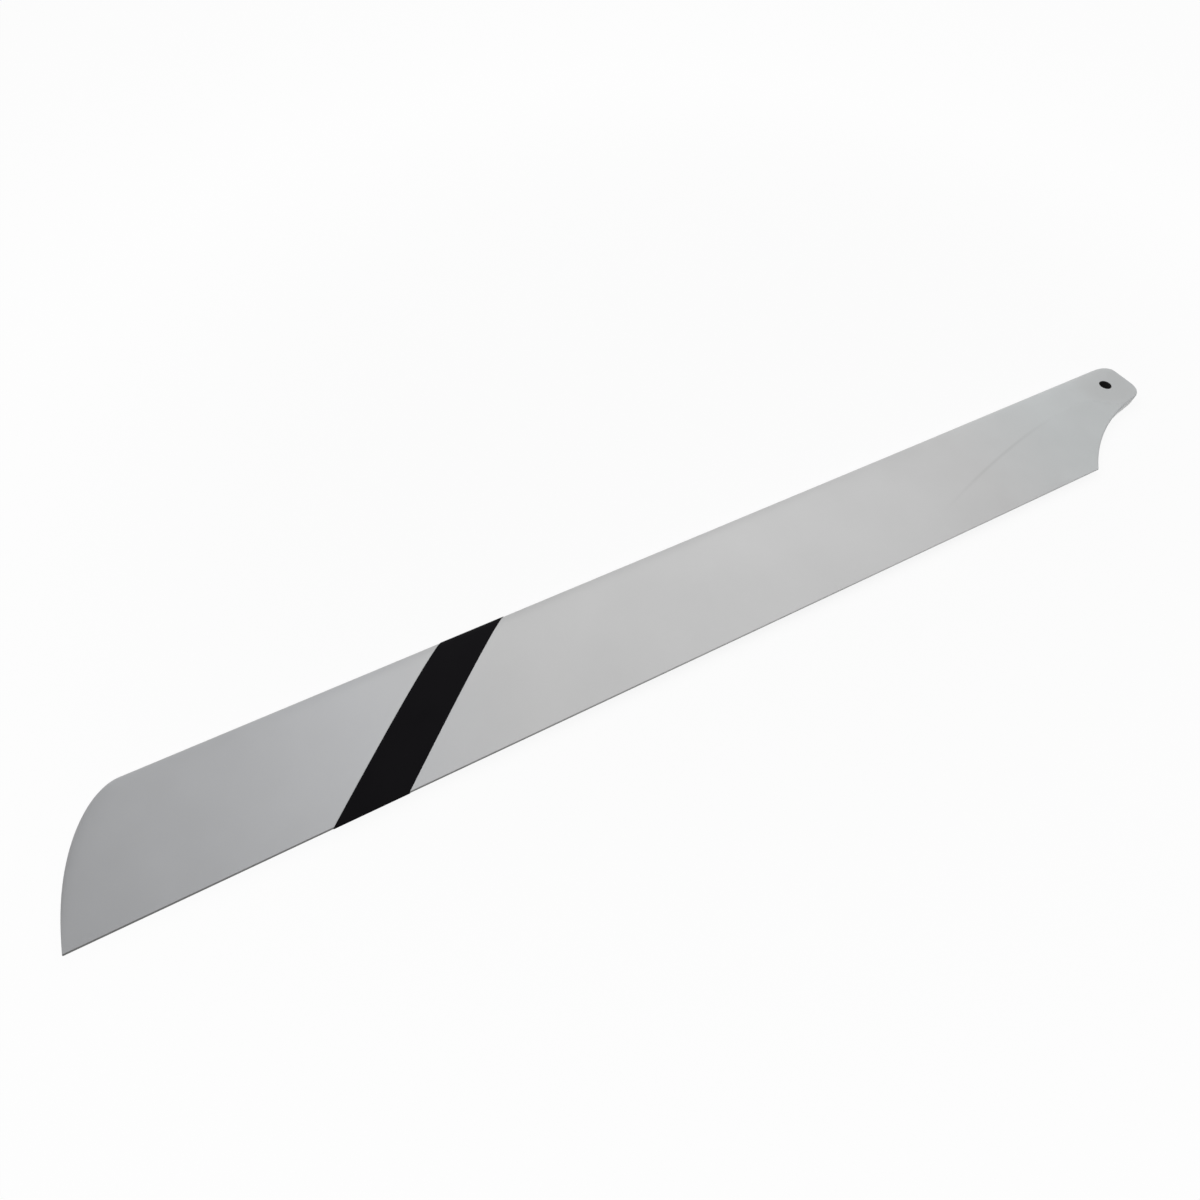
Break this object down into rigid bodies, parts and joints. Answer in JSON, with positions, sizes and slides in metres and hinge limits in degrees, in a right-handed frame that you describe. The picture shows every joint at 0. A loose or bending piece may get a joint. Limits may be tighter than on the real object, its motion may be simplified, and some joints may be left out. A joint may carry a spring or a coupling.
{
  "type": "model helicopter main rotor blade",
  "caption": "Long rectangular rotor blade of a model helicopter, with a symmetric aerofoil, a swept rounded tip, a flat bolted root and a slanted black stripe.",
  "frame": {"origin": "on the axis of the bolt hole, halfway through the flat root", "axes": "+X from the bolt hole to the tip, +Y from the leading edge to the trailing edge, +Z along the bolt hole's axis, up"},
  "size_m": [0.3237, 0.0322, 0.0044],
  "materials": {
    "blade": "smooth light grey gel coat, softly glossy",
    "stripe": "satin black film"
  },
  "bodies": {
    "root": {"blade": "blade", "stripe": "stripe"}
  },
  "joints": []
}
